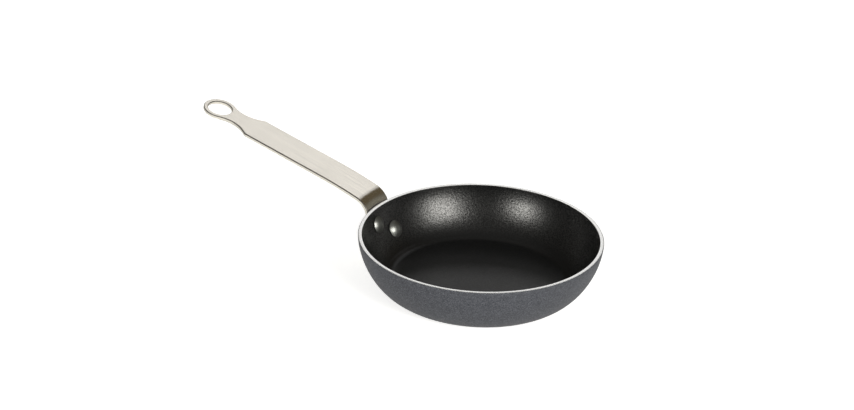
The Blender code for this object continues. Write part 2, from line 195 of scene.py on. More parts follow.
class Side:
    """The bowl's finished outer side, measured by the distance down it from the rim."""

    def __init__(self, bowl):
        self.bowl = bowl
        rim = Vector((bowl.rim_radius, 0, bowl.height))
        base = Vector((bowl.base_radius, 0, 0))
        rim_handle = rim - Vector((bowl.rim_lean, 0, bowl.rim_drop))
        base_handle = base + Vector((bowl.base_reach, 0, bowl.base_lift))
        self.points = interpolate_bezier(rim, rim_handle, base_handle, base, CURVE_SAMPLES)
        self.distances = [0.0]
        for before, after in zip(self.points, self.points[1:]):
            self.distances.append(self.distances[-1] + (after - before).length)
        self.length = self.distances[-1]

    def step_at(self, distance):
        """The index of the sample just before a distance, and the share of the step beyond it."""
        last = len(self.points) - 2
        index = next((i for i in range(last) if self.distances[i + 1] > distance), last)
        step = self.distances[index + 1] - self.distances[index]
        return index, (distance - self.distances[index]) / step

    def down(self, distance):
        """The unit vector down the side."""
        index, share = self.step_at(distance)
        ahead = min(index + 1, len(self.points) - 2)
        here = (self.points[index + 1] - self.points[index]).normalized()
        there = (self.points[ahead + 1] - self.points[ahead]).normalized()
        return here.lerp(there, share).normalized()

    def inward(self, distance):
        """The unit vector into the wall."""
        down = self.down(distance)
        return Vector((down.z, 0, -down.x))

    def at(self, distance, depth=0.0):
        """The point at a distance down the side and a depth into the wall."""
        index, share = self.step_at(distance)
        face = self.points[index].lerp(self.points[index + 1], share)
        return face + self.inward(distance) * depth

    def wall(self, distance):
        """The wall's whole thickness at a distance from the rim."""
        growth = self.bowl.wall_at_base - self.bowl.wall_at_rim
        return self.bowl.wall_at_rim + growth * distance / self.length

    def distance_at_height(self, height, depth_at=lambda distance: 0.0):
        """The distance at which a layer, whose depth follows the distance, passes a height."""
        low, high = 0.0, self.length
        for _ in range(HALVINGS):
            middle = (low + high) / 2
            if self.at(middle, depth_at(middle)).z > height:
                low = middle
            else:
                high = middle
        return (low + high) / 2


def spread(first, last, steps):
    """Evenly spaced values, both ends included."""
    return [first + (last - first) * i / steps for i in range(steps + 1)]


def fillet(before, corner, after, radius, steps):
    """Points of an arc that rounds the corner between two others, at most half of either side long."""
    back = (before - corner).normalized()
    ahead = (after - corner).normalized()
    half_angle = back.angle(ahead) / 2
    room = min((before - corner).length, (after - corner).length) / 2
    reach = min(radius / math.tan(half_angle), room)
    radius = reach * math.tan(half_angle)
    centre = corner + (back + ahead).normalized() * radius / math.sin(half_angle)
    start = corner + back * reach - centre
    end = corner + ahead * reach - centre
    shares = spread(0, 1, steps)
    return [centre + start.lerp(end, share).normalized() * radius for share in shares]


def deselect_all():
    bpy.ops.object.select_all(action="DESELECT")


def new_object(name):
    """The object that an operator has just added, under its name."""
    made = bpy.context.object
    made.name = name
    return made


def pick(piece):
    """Makes one piece the only one that is selected."""
    deselect_all()
    bpy.context.view_layer.objects.active = piece
    piece.select_set(True)


def edit(piece):
    """Opens one piece for editing, with all of it selected."""
    pick(piece)
    bpy.ops.object.mode_set(mode="EDIT")
    bpy.ops.mesh.select_all(action="SELECT")


def close_edit():
    bpy.ops.object.mode_set(mode="OBJECT")


def draw_line(name, points):
    """A new piece that is one line of vertices, drawn point by point."""
    deselect_all()
    bpy.ops.mesh.primitive_plane_add(size=MERGE)
    piece = new_object(name)
    edit(piece)
    bpy.ops.mesh.merge(type="CENTER")
    bpy.ops.transform.translate(value=points[0])
    for before, after in zip(points, points[1:]):
        bpy.ops.mesh.extrude_vertices_move(TRANSFORM_OT_translate={"value": after - before})
    close_edit()
    return piece


def spin(piece, steps):
    """Turns a line about the Z axis into a closed skin that faces outwards."""
    edit(piece)
    bpy.ops.mesh.spin(steps=steps, angle=math.tau, center=(0, 0, 0), axis=(0, 0, 1))
    bpy.ops.mesh.select_all(action="SELECT")
    bpy.ops.mesh.remove_doubles(threshold=MERGE)
    bpy.ops.mesh.normals_make_consistent(inside=False)
    close_edit()


def modify(piece, kind, **settings):
    """Adds a modifier and applies it."""
    modifier = piece.modifiers.new(kind.lower(), kind)
    for name, value in settings.items():
        setattr(modifier, name, value)
    pick(piece)
    bpy.ops.object.modifier_apply(modifier=modifier.name)


def smooth(piece):
    pick(piece)
    bpy.ops.object.shade_smooth_by_angle(angle=SMOOTH_BELOW)


def hand_over(piece, node, material):
    """Gives a finished piece its finish and puts it in the place of its CAD node."""
    piece.data.materials.clear()
    piece.data.materials.append(material)
    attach(piece, BODY)
    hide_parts(node)


SIDE_STEPS = 56
ROUND_STEPS = 8
LINING_STARTS = 5  # the step of the rim's inner corner at which the lining starts
COATING_STARTS = 1  # the step of the rim's outer corner at which the coating starts
BELOW_CORNER = 0.0006  # where the side goes on below a rounded corner of the rim
FILLET_STEPS = 14
FLOOR_SHARES = (0.0, 0.2, 0.4, 0.6, 0.8, 0.96)
GROOVE_STEPS = 8


def inner_layer(side, behind):
    """A layer of the bowl's inside, from the floor's centre to below the rim, that far behind its face."""
    bowl = side.bowl

    def depth(distance):
        return side.wall(distance) - behind

    floor = bowl.floor_height - behind
    corner = side.distance_at_height(floor, depth)
    rise = [side.at(d, depth(d)) for d in spread(corner, BELOW_CORNER, SIDE_STEPS)]
    centre = Vector((0, 0, floor))
    # The stretch of the side next to the floor makes way for the fillet.
    ahead = next(i for i, point in enumerate(rise) if (point - rise[0]).length > bowl.floor_fillet)
    rounded = fillet(centre, rise[0], rise[ahead], bowl.floor_fillet + behind, FILLET_STEPS)
    cleared = [point for point in rise[1:] if point.z > rounded[-1].z + MERGE]
    return [centre.lerp(rounded[0], share) for share in FLOOR_SHARES] + rounded + cleared


def outer_layer(side, depth, last):
    """A layer of the bowl's outside at one depth, from below the rim down to a distance from it."""
    return [side.at(distance, depth) for distance in spread(BELOW_CORNER, last, SIDE_STEPS)]


def rim_corner(side, behind, inside):
    """A rounded corner of the rim, from its flat top down, that far behind its face."""
    bowl = side.bowl
    top = bowl.height - behind
    across = bowl.wall_at_rim - behind if inside else behind
    below = side.wall(BELOW_CORNER) - behind if inside else behind
    middle = Vector((side.at(0, bowl.wall_at_rim / 2).x, 0, top))
    corner = Vector((side.at(0, across).x, 0, top))
    radius = bowl.inner_round if inside else bowl.outer_round
    return fillet(middle, corner, side.at(BELOW_CORNER, below), radius - behind, ROUND_STEPS)


def bare_rim(side, behind):
    """The rim's bare metal, with a step down on either side to the metal behind the skins."""
    up = rim_corner(side, behind, True)[LINING_STARTS:][::-1]
    over = rim_corner(side, 0.0, True)[: LINING_STARTS + 1][::-1]
    down = rim_corner(side, 0.0, False)[: COATING_STARTS + 1]
    return up + over + down + rim_corner(side, behind, False)[COATING_STARTS:]


def lining_layer(side, behind):
    """The lining's line from the floor's centre to the rim, that far behind its face."""
    return inner_layer(side, behind) + rim_corner(side, behind, True)[LINING_STARTS:][::-1]


def coating_layer(side, behind):
    """The coating's line from the rim to its lower end, that far behind its face."""
    last = side.length - side.bowl.bare_base
    return rim_corner(side, behind, False)[COATING_STARTS:] + outer_layer(side, behind, last)


def groove_outline(middle, bowl):
    """One groove of the underside, from its outer to its inner edge."""
    points = []
    for share in spread(1, -1, GROOVE_STEPS):
        depth = bowl.groove_depth * (0.5 + 0.5 * math.cos(math.pi * share))
        points.append(Vector((middle + share * bowl.groove_width / 2, 0, depth)))
    return points


def base_outline(side):
    """The underside from the base's edge to the axis, with its turned grooves."""
    bowl = side.bowl
    points = [side.at(side.length - bowl.bare_base / 2), Vector((bowl.base_radius, 0, 0))]
    room = bowl.base_radius - bowl.groove_land - bowl.groove_radius - bowl.groove_width / 2
    for index in reversed(range(int(room / bowl.groove_pitch) + 1)):
        points += groove_outline(bowl.groove_radius + bowl.groove_pitch * index, bowl)
    return points + [Vector((0, 0, 0))]


class StripPath:
    """The line of the strip's upper face in the XZ plane, measured from the foot's lower end."""

    def __init__(self, side, handle):
        self.side = side
        self.handle = handle
        self.leaving = side.distance_at_height(handle.leaving_height)
        self.top, self.leaving_slope = self.on_side(handle.foot_length)
        self.bend_turn = self.leaving_slope - handle.bend_exit
        self.bend_end = handle.foot_length + handle.bend_radius * self.bend_turn
        self.crown_turn = handle.bend_exit - handle.grip_slope
        self.crown_end = self.bend_end + handle.crown_radius * self.crown_turn
        self.ring_centre = self.bend_end + handle.grip_length
        self.bend_top = self.arc_end(self.top, self.leaving_slope, self.bend_turn, handle.bend_radius)
        self.crown_top = self.arc_end(
            self.bend_top, handle.bend_exit, self.crown_turn, handle.crown_radius
        )

    def on_side(self, along):
        """The point and slope of the foot, which lies on the bowl's side."""
        distance = self.leaving + self.handle.foot_length - along
        down = self.side.down(distance)
        return self.side.at(distance, -self.handle.seat_gap), math.atan2(-down.z, -down.x)

    @staticmethod
    def arc_end(start, slope, turned, radius):
        """The end of an arc that starts at a slope and turns down."""
        centre = start + Vector((math.sin(slope), 0, -math.cos(slope))) * radius
        end_slope = slope - turned
        return centre - Vector((math.sin(end_slope), 0, -math.cos(end_slope))) * radius

    def at(self, along):
        """The point and slope at a length along the strip."""
        handle = self.handle
        if along <= handle.foot_length:
            return self.on_side(along)
        if along <= self.bend_end:
            turned = (along - handle.foot_length) / handle.bend_radius
            point = self.arc_end(self.top, self.leaving_slope, turned, handle.bend_radius)
            return point, self.leaving_slope - turned
        if along <= self.crown_end:
            turned = (along - self.bend_end) / handle.crown_radius
            point = self.arc_end(self.bend_top, handle.bend_exit, turned, handle.crown_radius)
            return point, handle.bend_exit - turned
        slope = handle.grip_slope
        ahead = Vector((math.cos(slope), 0, math.sin(slope)))
        return self.crown_top + ahead * (along - self.crown_end), slope

    def saddle(self, along):
        """The share of the bowl's roundness that the strip takes: all at the foot, none past the bend."""
        foot = self.handle.foot_length
        share = min(max((along - foot) / (self.bend_end - foot), 0.0), 1.0)
        return 1.0 - share * share * (3.0 - 2.0 * share)

    def form(self, flat):
        """Where a point of the flat blank (along, across, up) goes when the strip is bent to shape."""
        point, slope = self.at(flat.x)
        placed = point + Vector((-math.sin(slope), 0, math.cos(slope))) * flat.z
        round_in = placed.x - math.sqrt(placed.x**2 - flat.y**2)
        return placed + Vector((-round_in * self.saddle(flat.x), flat.y, 0))


NECK_ROWS = 9
SHOULDER_ROWS = 12
SHOULDER_REACH = 0.0016  # the rows lie closer together this far either side of the shoulder
GRIP_ROWS = 16
BEND_ROWS = 26
FOOT_ROWS = 14
CORNER_ROWS = 12
EDGE_SEGMENTS = 6
DEPTH = "depth"  # an attribute: 0 on the strip's upper face and 1 on its lower one
RIM_ANGLE = math.radians(60)
RING_SOFTENING = 0.45  # of the strip's edge softening


class Blank:
    """The outline of the strip's flat blank: half its width at each length from the foot's end."""

    def __init__(self, path):
        self.path = path
        self.handle = handle = path.handle
        self.half = handle.width / 2
        narrow = handle.neck_width / 2
        room = handle.ring_radius - narrow
        self.neck_radius = (handle.neck_to_ring**2 / room - handle.ring_radius - narrow) / 2
        self.neck_centre = narrow + self.neck_radius
        self.neck_x = path.ring_centre - handle.neck_to_ring
        self.ring_angle = math.atan2(self.neck_centre, handle.neck_to_ring)
        reach = math.sqrt(self.neck_radius**2 - (self.neck_centre - self.half) ** 2)
        self.shoulder_x = self.neck_x - reach

    def neck(self, along):
        """Half the width on the neck's concave arc."""
        gone = min(abs(along - self.neck_x), self.neck_radius)
        return self.neck_centre - math.sqrt(self.neck_radius**2 - gone**2)

    def half_width(self, along):
        corner = self.handle.foot_corner
        if along < corner:
            return self.half - corner + math.sqrt(corner**2 - (corner - along) ** 2)
        if along < self.shoulder_x - SHOULDER_REACH:
            return self.half
        # Past the shoulder the arc takes over, and the corner between the two is eased.
        neck = self.neck(along)
        ease = self.handle.shoulder_round
        overlap = max(ease - abs(neck - self.half), 0.0) / ease
        return min(neck, self.half) - overlap * overlap * ease / 4

    def rows(self):
        """Lengths from the foot's end at which the blank is drawn, from the ring towards the foot."""
        handle, path = self.handle, self.path
        start = path.ring_centre - handle.ring_radius * math.cos(self.ring_angle)
        corner = handle.foot_corner
        stops = (
            (self.neck_x, NECK_ROWS),
            (self.shoulder_x + SHOULDER_REACH, NECK_ROWS),
            (self.shoulder_x - SHOULDER_REACH, SHOULDER_ROWS),
            (path.bend_end, GRIP_ROWS),
            (handle.foot_length, BEND_ROWS),
            (corner, FOOT_ROWS),
        )
        rows = []
        for stop, steps in stops:
            rows += spread(start, stop, steps)[1:]
            start = stop
        rows += [corner * (1 - math.sin(a)) for a in spread(0, math.pi / 2, CORNER_ROWS)[1:]]
        return rows


def select_neck_edges(piece, blank):
    """Selects the ring's outer edges from which the neck grows."""
    handle, ring_x = blank.handle, blank.path.ring_centre
    ring_step = math.tau / handle.ring_steps
    reach = blank.ring_angle + ring_step / 2
    mesh = bmesh.from_edit_mesh(piece.data)
    bpy.ops.mesh.select_all(action="DESELECT")
    for edge in mesh.edges:
        arms = [vert.co - Vector((ring_x, 0, 0)) for vert in edge.verts]
        on_ring = all(abs(arm.length - handle.ring_radius) < MERGE for arm in arms)
        if on_ring and all(abs(math.atan2(arm.y, -arm.x)) < reach for arm in arms):
            edge.select_set(True)
    bmesh.update_edit_mesh(piece.data)


def draw_blank(name, blank):
    """The strip's flat blank as a sheet: the ring first, then row by row to the foot."""
    handle, ring_x = blank.handle, blank.path.ring_centre
    deselect_all()
    bpy.ops.mesh.primitive_circle_add(vertices=handle.ring_steps, radius=handle.hole_radius)
    piece = new_object(name)
    edit(piece)
    bpy.ops.transform.translate(value=(ring_x, 0, 0))
    growth = handle.ring_radius / handle.hole_radius
    bpy.ops.mesh.extrude_region_move()
    bpy.ops.transform.resize(value=(growth, growth, 1), center_override=(ring_x, 0, 0))
    select_neck_edges(piece, blank)
    at = arc_x = ring_x - handle.ring_radius * math.cos(blank.ring_angle)
    width = handle.ring_radius * math.sin(blank.ring_angle)
    left = 1.0  # share of the ring's bulge that the row still has
    for row in blank.rows():
        bulge = max((row - blank.neck_x) / (arc_x - blank.neck_x), 0.0)
        flatten = bulge / left if left > 0 else 1.0
        widen = blank.half_width(row) / width
        bpy.ops.mesh.extrude_region_move(TRANSFORM_OT_translate={"value": (row - at, 0, 0)})
        bpy.ops.transform.resize(value=(flatten, widen, 1), center_override=(row, 0, 0))
        at, width, left = row, blank.half_width(row), bulge
    bpy.ops.mesh.select_all(action="SELECT")
    bpy.ops.mesh.normals_make_consistent(inside=False)
    close_edit()
    if piece.data.polygons[0].normal.z < 0:
        edit(piece)
        bpy.ops.mesh.flip_normals()
        close_edit()
    return piece


def weigh_edges(piece, blank):
    """Says how far each sharp edge is softened: less on the slender ring than along the strip."""
    mesh = bmesh.new()
    mesh.from_mesh(piece.data)
    weights = mesh.edges.layers.float.new("bevel_weight_edge")
    neck_to_hole = blank.handle.neck_to_ring - blank.handle.hole_radius
    for edge in mesh.edges:
        if edge.calc_face_angle(0.0) > RIM_ANGLE:
            beyond_neck = (edge.verts[0].co.x + edge.verts[1].co.x) / 2 - blank.neck_x
            share = min(max(beyond_neck / neck_to_hole, 0.0), 1.0)
            edge[weights] = 1.0 + (RING_SOFTENING - 1.0) * share
    mesh.to_mesh(piece.data)
    mesh.free()


def mark_depth(piece, thickness):
    """Notes how far down each point of the flat strip lies, which tells its corners and cut edge."""
    marks = piece.data.attributes.new(DEPTH, "FLOAT", "POINT")
    for vertex, mark in zip(piece.data.vertices, marks.data):
        mark.value = -vertex.co.z / thickness


class RivetPlace:
    """Where a rivet goes: a frame on the bowl's outer face whose Z axis points into the bowl."""

    def __init__(self, side, settings, height, side_step):
        self.side = side
        self.rivet = rivet = settings.rivet
        self.distance = side.distance_at_height(height)
        face = side.at(self.distance)
        inward = side.inward(self.distance)
        up = -side.down(self.distance)
        place = Matrix((up, inward.cross(up), inward)).transposed().to_4x4()
        place.translation = face
        self.matrix = Matrix.Rotation(math.asin(side_step / face.x), 4, "Z") @ place
        stand = self.rise(rivet.head_radius) + rivet.clearance
        self.head_seat = side.wall(self.distance) + stand
        self.tail_seat = -settings.handle.seat_gap - settings.handle.thickness - rivet.clearance

    def rise(self, radius):
        """How far the hollow inner face stands up under the edge of a flat head."""
        side = self.side
        here = side.at(self.distance, side.wall(self.distance))
        inward = side.inward(self.distance)
        ends = (self.distance - radius, self.distance + radius)
        return max((side.at(d, side.wall(d)) - here).dot(inward) for d in ends)


DOME_STEPS = 16
HEAD_ROUND = 0.0007  # softening of the edge between a head's side and its dome
DRILL_OVERRUN = 0.002


def dome(radius, base, height):
    """The profile of a shallow dome, from its edge to the axis. A negative height makes it hang."""
    ball = (radius**2 + height**2) / (2 * height)
    centre = base + height - ball
    edge_angle = math.asin(radius / abs(ball))
    return [
        Vector((abs(ball) * math.sin(angle), 0, centre + ball * math.cos(angle)))
        for angle in spread(edge_angle, 0, DOME_STEPS)
    ]


def rivet_outline(place):
    """A rivet's half section, from the top of its head down its shank to the end of its tail."""
    rivet = place.rivet
    head_top = place.head_seat + rivet.head_edge
    tail_top = place.tail_seat - rivet.head_edge
    head = dome(rivet.head_radius, head_top, rivet.head_height - rivet.head_edge)[::-1]
    tail = dome(rivet.tail_radius, tail_top, rivet.head_edge - rivet.tail_height)
    head_low = Vector((rivet.head_radius, 0, place.head_seat))
    tail_high = Vector((rivet.tail_radius, 0, place.tail_seat))
    head_edge = fillet(head[-2], head[-1], head_low, HEAD_ROUND, ROUND_STEPS)
    tail_edge = fillet(tail_high, tail[0], tail[1], HEAD_ROUND, ROUND_STEPS)
    shank = [Vector((rivet.shank_radius, 0, z)) for z in (place.head_seat, place.tail_seat)]
    return head[:-1] + head_edge + [head_low] + shank + [tail_high] + tail_edge + tail[1:]


def rivet_places(settings):
    """The two rivets' places, by the name of their CAD node."""
    side, rivet = Side(settings.bowl), settings.rivet
    return {
        "rivet_upper": RivetPlace(side, settings, rivet.upper_height, rivet.side_step),
        "rivet_lower": RivetPlace(side, settings, rivet.lower_height, -rivet.side_step),
    }


def drill(piece, settings):
    """Makes the holes for the two rivets."""
    rivet = settings.rivet
    for place in rivet_places(settings).values():
        low = place.tail_seat - DRILL_OVERRUN
        high = place.head_seat + DRILL_OVERRUN
        middle = place.matrix @ Matrix.Translation((0, 0, (low + high) / 2))
        deselect_all()
        bpy.ops.mesh.primitive_cylinder_add(
            vertices=rivet.steps,
            radius=rivet.shank_radius + rivet.clearance,
            depth=high - low,
            location=middle.translation,
            rotation=middle.to_euler(),
        )
        cutter = bpy.context.object
        modify(piece, "BOOLEAN", operation="DIFFERENCE", object=cutter, solver="EXACT")
        bpy.data.objects.remove(cutter, do_unlink=True)


def turned_piece(name, outline, settings):
    """A piece of the bowl: its half section, turned about the axis and drilled for the rivets."""
    piece = draw_line(name, outline)
    spin(piece, settings.bowl.steps)
    drill(piece, settings)
    smooth(piece)
    return piece


class Number:
    """A number in a material: a socket that takes part in Python's sums."""

    def __init__(self, finish, socket):
        self.finish = finish
        self.socket = socket

    def __add__(self, other):
        return self.finish.sum("ADD", self, other)

    def __sub__(self, other):
        return self.finish.sum("SUBTRACT", self, other)

    def __rsub__(self, other):
        return self.finish.sum("SUBTRACT", other, self)

    def __mul__(self, other):
        return self.finish.sum("MULTIPLY", self, other)

    def __pow__(self, other):
        return self.finish.sum("POWER", self, other)

    __radd__ = __add__
    __rmul__ = __mul__


BLEND_SOCKETS = ("Factor_Float", "A_Color", "B_Color")


class Finish:
    """A tree of shader nodes, and the ways to add to it."""

    def __init__(self, tree):
        self.tree = tree

    def node(self, kind, settings=None, inputs=None):
        """Adds a node. Its settings come first, and then its sockets, by name or number."""
        made = self.tree.nodes.new(kind)
        for name, value in (settings or {}).items():
            setattr(made, name, value)
        for key, value in (inputs or {}).items():
            self.plug(made.inputs[key], value)
        return made

    def plug(self, socket, value):
        """Sets a socket to a plain value, or links it to a number or another socket."""
        if isinstance(value, Number):
            value = value.socket
        if isinstance(value, bpy.types.NodeSocket):
            self.tree.links.new(value, socket)
        elif isinstance(value, tuple) and len(value) == 3 and socket.type == "RGBA":
            socket.default_value = (*value, 1.0)
        else:
            socket.default_value = value

    def number(self, kind, settings=None, inputs=None, output=0):
        """Adds a node and gives its output as a number."""
        return Number(self, self.node(kind, settings, inputs).outputs[output])

    def sum(self, operation, first, second):
        return self.number("ShaderNodeMath", {"operation": operation}, {0: first, 1: second})

    def between(self, value, low, high):
        """0 below low, 1 above high, and smooth in between."""
        settings = {"interpolation_type": "SMOOTHSTEP"}
        return self.number(
            "ShaderNodeMapRange", settings, {"Value": value, "From Min": low, "From Max": high}
        )

    def blend(self, share, first, second):
        """The colour at a share of the way from one to another."""
        made = self.node("ShaderNodeMix", {"data_type": "RGBA"})
        factor, one, other = (s for s in made.inputs if s.identifier in BLEND_SOCKETS)
        self.plug(factor, share)
        self.plug(one, first)
        self.plug(other, second)
        return next(s for s in made.outputs if s.identifier == "Result_Color")

    def seen(self, mirrored=1.0):
        """1 for what the camera sees, a share of it in metal and through glass, and 0 for plain light."""
        path = self.node("ShaderNodeLightPath").outputs
        indirect = self.sum("MAXIMUM", path["Is Glossy Ray"], path["Is Transmission Ray"])
        return self.sum("MAXIMUM", path["Is Camera Ray"], indirect * mirrored)


class Surface(Finish):
    """A material on a Principled shader, which starts with the shader's constant sockets."""

    def __init__(self, name, constants):
        self.material = bpy.data.materials.new(name)
        self.material.use_nodes = True
        super().__init__(self.material.node_tree)
        self.shader = self.tree.nodes["Principled BSDF"]
        for key, value in constants.items():
            self.set(key, value)
        self.place = self.node("ShaderNodeTexCoord").outputs["Object"]

    def stretched(self, scale):
        """The place on the piece, counted more finely along some axes."""
        return self.node("ShaderNodeMapping", {}, {"Vector": self.place, "Scale": scale}).outputs[0]

    def noise(self, scale, detail=2.0, roughness=0.5, vector=None):
        """Soft random values from 0 to 1, with about that many features to the metre."""
        inputs = {"Vector": vector or self.place, "Scale": scale, "Detail": detail, "Roughness": roughness}
        return self.number("ShaderNodeTexNoise", {}, inputs, "Fac")

    def axes(self):
        """The three coordinates of the place on the piece."""
        split = self.node("ShaderNodeSeparateXYZ", {}, {"Vector": self.place})
        return [Number(self, output) for output in split.outputs]

    def bump(self, height, strength, distance):
        """Raises the surface by a height from 0 to 1."""
        inputs = {"Height": height, "Strength": strength, "Distance": distance}
        self.set("Normal", self.node("ShaderNodeBump", {}, inputs).outputs[0])

    def set(self, key, value):
        self.plug(self.shader.inputs[key], value)


def toned(base, share):
    """A colour with its brightness times a share."""
    return tuple(c * share for c in base)


PEBBLED_FROM = (0.0042, 0.0105)  # heights between which the lining goes from calm to pebbled
FOLD_HEIGHTS = ((0.00401, 0.00425), (0.0080, 0.0055))  # where its duller fold starts and ends


def lining_finish(colours):
    """Black non-stick: satin, with the fine pebbles of a sprayed coat, calmer on the floor."""
    made = Surface("nonstick_black", {"IOR": 1.36, "Coat Roughness": 0.31, "Coat IOR": 1.5})
    pebbles = made.noise(1150, 1.5, 0.5)
    grains = made.noise(2600, 1.0)
    patches = made.noise(45, 3.0)
    spots = made.between(made.noise(1600, 0.0), 0.34, 0.66)
    height = made.axes()[2]
    side = made.between(height, *PEBBLED_FROM)
    fold = made.between(height, *FOLD_HEIGHTS[0]) * made.between(height, *FOLD_HEIGHTS[1])
    made.bump((pebbles * 0.85 + grains * 0.15) * (0.3 + side * 0.7), 1.0, 0.00014)
    gloss = spots * (0.12 + side * 0.64) + 0.21 - side * 0.10
    made.set("Coat Weight", gloss * (1.0 - fold * 0.45))
    base = tuple(colours.lining)
    lighter = toned(base, 1.6)
    made.set("Base Color", made.blend(made.between(pebbles, 0.35, 0.75), base, lighter))
    made.set("Roughness", 0.28 + patches * 0.04 + grains * 0.04)
    return made.material


def coating_finish(colours):
    """Speckled grey: a fine pale grain in a dark blue-grey, slightly rough to the touch."""
    made = Surface("speckled_grey", {"IOR": 1.36})
    grain = made.noise(2300, 2.0, 0.6)
    fine = made.noise(5200, 1.0)
    patches = made.noise(110, 3.0)
    cells = made.node("ShaderNodeTexVoronoi", {}, {"Vector": made.place, "Scale": 2600})
    tone = made.number("ShaderNodeSeparateColor", {}, {0: cells.outputs["Color"]})
    flecks = made.between(tone, 0.55, 0.95)
    dark_spots = made.between(tone, 0.12, 0.02)
    share = made.between(grain, 0.38, 0.68) * 0.45 + flecks * 0.45 + patches * 0.10
    base = tuple(colours.coating)
    shade = made.blend(share, base, tuple(colours.fleck))
    deep = toned(base, 0.45)
    made.set("Base Color", made.blend(dark_spots * 0.7, shade, deep))
    made.set("Roughness", 0.54 + grain * 0.12 - flecks * 0.05)
    made.bump(grain * 0.7 + fine * 0.3, 0.35, 0.00012)
    return made.material


def aluminium_finish(colours):
    """Bright aluminium with the rings that the lathe's tool leaves."""
    made = Surface("bare_aluminium", {"Metallic": 1.0})
    x, y, z = made.axes()
    radius = (x * x + y * y) ** 0.5
    ring_place = made.node("ShaderNodeCombineXYZ", {}, {"X": radius, "Y": z}).outputs[0]
    rings = made.noise(5200, 2.0, 0.6, ring_place)
    feed = made.noise(1500, 0.0, 0.5, ring_place)
    smudges = made.noise(60, 3.0)
    base = tuple(colours.aluminium)
    duller = toned(base, 0.88)
    made.set("Base Color", made.blend(made.between(rings, 0.3, 0.8) * 0.6, base, duller))
    made.set("Roughness", 0.12 + rings * 0.05 + smudges * 0.03)
    made.bump(rings * 0.6 + feed * 0.4, 0.05, 0.00003)
    return made.material


FINE_BRUSHING = (60, 4500, 60)  # streaks to the metre along, across and through the strip
WIDE_BRUSHING = (25, 1700, 25)
# Shares of the strip's depth between which the rounded corners, given a painted dark reflection, and the
# cut edge, duller and greyed with painted shade, set in.
PAINTED_DARK_CORNER_DEPTHS = ((0.0, 0.04), (1.0, 0.96))
DULL_CUT_AND_SHADE_DEPTHS = ((0.22, 0.32), (0.98, 0.90))


def steel_finish(colours):
    """Satin steel, brushed along the strip, with duller corners and cut edges: the corners carry a painted
    dark reflection, and the cut edge is partly greyed by painted shade.
    """
    made = Surface("satin_steel", {})
    lines = made.noise(1.0, 3.0, 0.6, made.stretched(FINE_BRUSHING))
    wide_lines = made.noise(1.0, 2.0, 0.5, made.stretched(WIDE_BRUSHING))
    smudges = made.noise(55, 3.0, 0.55)
    mottle = made.noise(1100, 3.0, 0.6)
    depth = made.number("ShaderNodeAttribute", {"attribute_name": DEPTH}, {}, "Fac")
    # corner masks the painted dark reflection on the rounded corners; cut masks the cut edge, which is
    # duller and carries painted shade
    corner, cut = (
        made.between(depth, *upper) * made.between(depth, *lower)
        for upper, lower in (PAINTED_DARK_CORNER_DEPTHS, DULL_CUT_AND_SHADE_DEPTHS)
    )
    base = tuple(colours.steel)
    duller = toned(base, 0.78)
    streaks = made.between(lines, 0.35, 0.75) * 0.32 + made.between(wide_lines, 0.3, 0.7) * 0.25
    share = streaks + made.between(mottle, 0.35, 0.65) * 0.06 + smudges * 0.15
    brushed = made.blend(share, base, duller)
    # Painted dark reflection: the rounded corners are darkened almost to black, standing in for the dark
    # room they mirror.
    rounded = made.blend(corner, brushed, toned(base, 0.09))
    # The cut edge is greyed: partly a duller ground edge, partly painted shade.
    made.set("Base Color", made.blend(cut, rounded, toned(base, 0.56)))
    made.set("Metallic", 1.0 - corner * 0.4 - cut * 0.45)
    made.set("Roughness", 0.15 + lines * 0.06 + smudges * 0.05 + corner * 0.2 + cut * 0.1)
    made.bump(lines, 0.08, 0.00002)
    return made.material


def rivet_finish(colours):
    """Smooth steel of the rivets, faintly marked by the setting tool."""
    made = Surface("rivet_steel", {"Metallic": 0.92})
    marks = made.noise(900, 2.0)
    grain = made.noise(5000, 1.0)
    base = tuple(colours.rivet)
    duller = toned(base, 0.85)
    made.set("Base Color", made.blend(made.between(marks, 0.35, 0.7) * 0.6, base, duller))
    made.set("Roughness", 0.32 + marks * 0.08 + grain * 0.04)
    made.bump(marks * 0.6 + grain * 0.4, 0.15, 0.00003)
    return made.material


class BLINI_OT_add_bowl(bpy.types.Operator):
    """Turns the aluminium bowl: its rim, the wall between its skins and its grooved base"""

    bl_idname = "blini.add_bowl"
    bl_label = "Add Bowl"

    def execute(self, context):
        settings = context.scene.blini_pan
        side, bowl = Side(settings.bowl), settings.bowl
        depth = bowl.skin + STAND_OFF
        outline = inner_layer(side, depth) + bare_rim(side, depth)
        outline += outer_layer(side, depth, side.length - bowl.bare_base)
        outline += [side.at(side.length - bowl.bare_base)] + base_outline(side)
        piece = turned_piece("bowl_metal", outline, settings)
        hand_over(piece, "pan_body", aluminium_finish(settings.colours))
        return {"FINISHED"}


class BLINI_OT_add_skins(bpy.types.Operator):
    """Turns the two skins of the bowl: the black lining inside and the grey coating outside"""

    bl_idname = "blini.add_skins"
    bl_label = "Add Lining and Coating"

    def execute(self, context):
        settings = context.scene.blini_pan
        side, skin = Side(settings.bowl), settings.bowl.skin
        outline = lining_layer(side, 0.0) + lining_layer(side, skin)[::-1]
        lining = turned_piece("black_lining", outline, settings)
        hand_over(lining, "nonstick_lining", lining_finish(settings.colours))
        outline = coating_layer(side, 0.0) + coating_layer(side, skin)[::-1]
        coating = turned_piece("grey_coating", outline + outline[:1], settings)
        hand_over(coating, "outer_coating", coating_finish(settings.colours))
        return {"FINISHED"}


